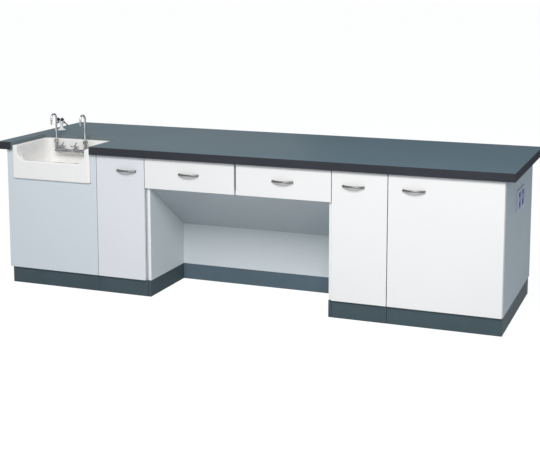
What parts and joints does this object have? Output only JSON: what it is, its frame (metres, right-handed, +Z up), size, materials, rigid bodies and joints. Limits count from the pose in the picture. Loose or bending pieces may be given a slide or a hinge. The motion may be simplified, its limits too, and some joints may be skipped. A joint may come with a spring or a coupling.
{
  "type": "laboratory bench",
  "caption": "Long laboratory wall bench with resin worktop, apron-front ceramic sink and bridge tap, gas turret, cupboards, knee space with drawers and end sockets.",
  "frame": {"origin": "on the floor under the middle of the bench's outline", "axes": "+X along the bench to the right as seen from the doors, +Y from the doors to the wall side, +Z up"},
  "size_m": [3.206, 1.018, 1.055],
  "materials": {
    "worktop": "cast resin slab, satin top and softly rounded edges",
    "front_laminate": "smooth pale laminate on board, sealed edges",
    "carcass_laminate": "grey laminate on board",
    "soffit_laminate": "grey laminate on board",
    "inner_laminate": "pale grey laminate on board",
    "back_board": "painted fibreboard",
    "plinth": "dark slate laminate plinth board",
    "ceramic": "white glazed fireclay",
    "chrome": "polished chrome plate",
    "waste_steel": "brushed stainless steel",
    "trap_plastic": "white polypropylene",
    "copper_pipe": "bare copper",
    "turret_coat": "white epoxy powder coat",
    "knob_black": "black moulded plastic",
    "nozzle_grey": "dark grey coated brass",
    "handle_metal": "dark brushed metal",
    "hinge_steel": "nickel-plated pressed steel",
    "slide_steel": "zinc-plated rolled steel",
    "foot_plastic": "black moulded plastic",
    "socket_plate": "pale blue-white moulded plastic",
    "socket_insert": "grey-blue moulded plastic",
    "rocker": "dark blue moulded plastic"
  },
  "bodies": {
    "bench": {"worktop": "worktop", "sink": "ceramic", "sink_waste": "waste_steel", "waste_trap": "trap_plastic", "tap_bridge": "chrome", "tap_nuts": "chrome", "tap_supply_pipes": "copper_pipe", "gas_turret": "turret_coat", "gas_nozzles": "nozzle_grey", "gas_pipe": "copper_pipe", "sink_front_panel": "front_laminate", "sink_bearers": "inner_laminate", "end_panel_left": "carcass_laminate", "end_panel_right": "carcass_laminate", "cabinet_sides": "inner_laminate", "knee_gable_left": "carcass_laminate", "knee_gable_right": "carcass_laminate", "knee_filler_strip": "carcass_laminate", "knee_back_panel": "carcass_laminate", "knee_soffit": "soffit_laminate", "drawer_divider": "inner_laminate", "base_boards": "inner_laminate", "top_rails": "inner_laminate", "back_panels": "back_board", "shelves": "inner_laminate", "shelf_pins": "hinge_steel", "plinth_front_boards": "plinth", "plinth_knee_boards": "plinth", "plinth_end_and_rear_boards": "plinth", "levelling_feet": "foot_plastic", "hinge_arms": "hinge_steel", "drawer_slide_rails": "slide_steel", "socket_plate": "socket_plate", "socket_inserts": "socket_insert", "socket_box": "trap_plastic"},
    "door_narrow_left_leaf": {"door_narrow_left": "front_laminate", "hinge_cups_narrow_left": "hinge_steel", "handle_narrow_left": "handle_metal"},
    "door_narrow_right_leaf": {"door_narrow_right": "front_laminate", "hinge_cups_narrow_right": "hinge_steel", "handle_narrow_right": "handle_metal"},
    "door_wide_leaf": {"door_wide": "front_laminate", "hinge_cups_wide": "hinge_steel", "handle_wide": "handle_metal"},
    "drawer_left": {"drawer_front_left": "front_laminate", "drawer_box_left": "inner_laminate", "drawer_slides_left": "slide_steel", "drawer_handle_left": "handle_metal"},
    "drawer_right": {"drawer_front_right": "front_laminate", "drawer_box_right": "inner_laminate", "drawer_slides_right": "slide_steel", "drawer_handle_right": "handle_metal"},
    "spout_left": {"tap_spout_left": "chrome"},
    "spout_right": {"tap_spout_right": "chrome"},
    "valve_handle_left": {"tap_handle_left": "chrome"},
    "valve_handle_right": {"tap_handle_right": "chrome"},
    "gas_tap_left": {"gas_knob_left": "knob_black"},
    "gas_tap_right": {"gas_knob_right": "knob_black"},
    "rocker_near": {"socket_rocker_near": "rocker"},
    "rocker_far": {"socket_rocker_far": "rocker"}
  },
  "joints": [
    {"name": "door_narrow_left_hinge", "type": "hinge", "parent": "bench", "child": "door_narrow_left_leaf", "pos_m": [-0.9115, -0.479, 0.4755], "axis": [0, 0, -1], "range_deg": [0, 105]},
    {"name": "door_narrow_right_hinge", "type": "hinge", "parent": "bench", "child": "door_narrow_right_leaf", "pos_m": [0.9055, -0.479, 0.4755], "axis": [0, 0, 1], "range_deg": [0, 95]},
    {"name": "door_wide_hinge", "type": "hinge", "parent": "bench", "child": "door_wide_leaf", "pos_m": [1.5475, -0.479, 0.4755], "axis": [0, 0, 1], "range_deg": [0, 105]},
    {"name": "drawer_left_slide", "type": "slide", "parent": "bench", "child": "drawer_left", "axis": [0, -1, 0], "range_m": [0, 0.35]},
    {"name": "drawer_right_slide", "type": "slide", "parent": "bench", "child": "drawer_right", "axis": [0, -1, 0], "range_m": [0, 0.35]},
    {"name": "spout_left_swivel", "type": "hinge", "parent": "bench", "child": "spout_left", "pos_m": [-1.378, -0.174, 0.862], "axis": [0, 0, 1], "range_deg": [-90, 90]},
    {"name": "spout_right_swivel", "type": "hinge", "parent": "bench", "child": "spout_right", "pos_m": [-1.166, -0.174, 0.862], "axis": [0, 0, 1], "range_deg": [-90, 90]},
    {"name": "valve_left_turn", "type": "hinge", "parent": "bench", "child": "valve_handle_left", "pos_m": [-1.319, -0.20228, 0.83928], "axis": [0, -0.7071, 0.7071], "range_deg": [0, 90]},
    {"name": "valve_right_turn", "type": "hinge", "parent": "bench", "child": "valve_handle_right", "pos_m": [-1.225, -0.20228, 0.83928], "axis": [0, -0.7071, 0.7071], "range_deg": [0, 90]},
    {"name": "gas_left_turn", "type": "hinge", "parent": "bench", "child": "gas_tap_left", "pos_m": [-1.523, 0.1, 0.958], "axis": [0, -0.7071, 0.7071], "range_deg": [0, 90]},
    {"name": "gas_right_turn", "type": "hinge", "parent": "bench", "child": "gas_tap_right", "pos_m": [-1.493, 0.1, 0.958], "axis": [0, -0.7071, 0.7071], "range_deg": [0, 90]},
    {"name": "rocker_near_tip", "type": "hinge", "parent": "bench", "child": "rocker_near", "pos_m": [1.5555, -0.044, 0.702], "axis": [0, 1, 0], "range_deg": [-6, 6]},
    {"name": "rocker_far_tip", "type": "hinge", "parent": "bench", "child": "rocker_far", "pos_m": [1.5555, 0.066, 0.702], "axis": [0, 1, 0], "range_deg": [-6, 6]}
  ]
}
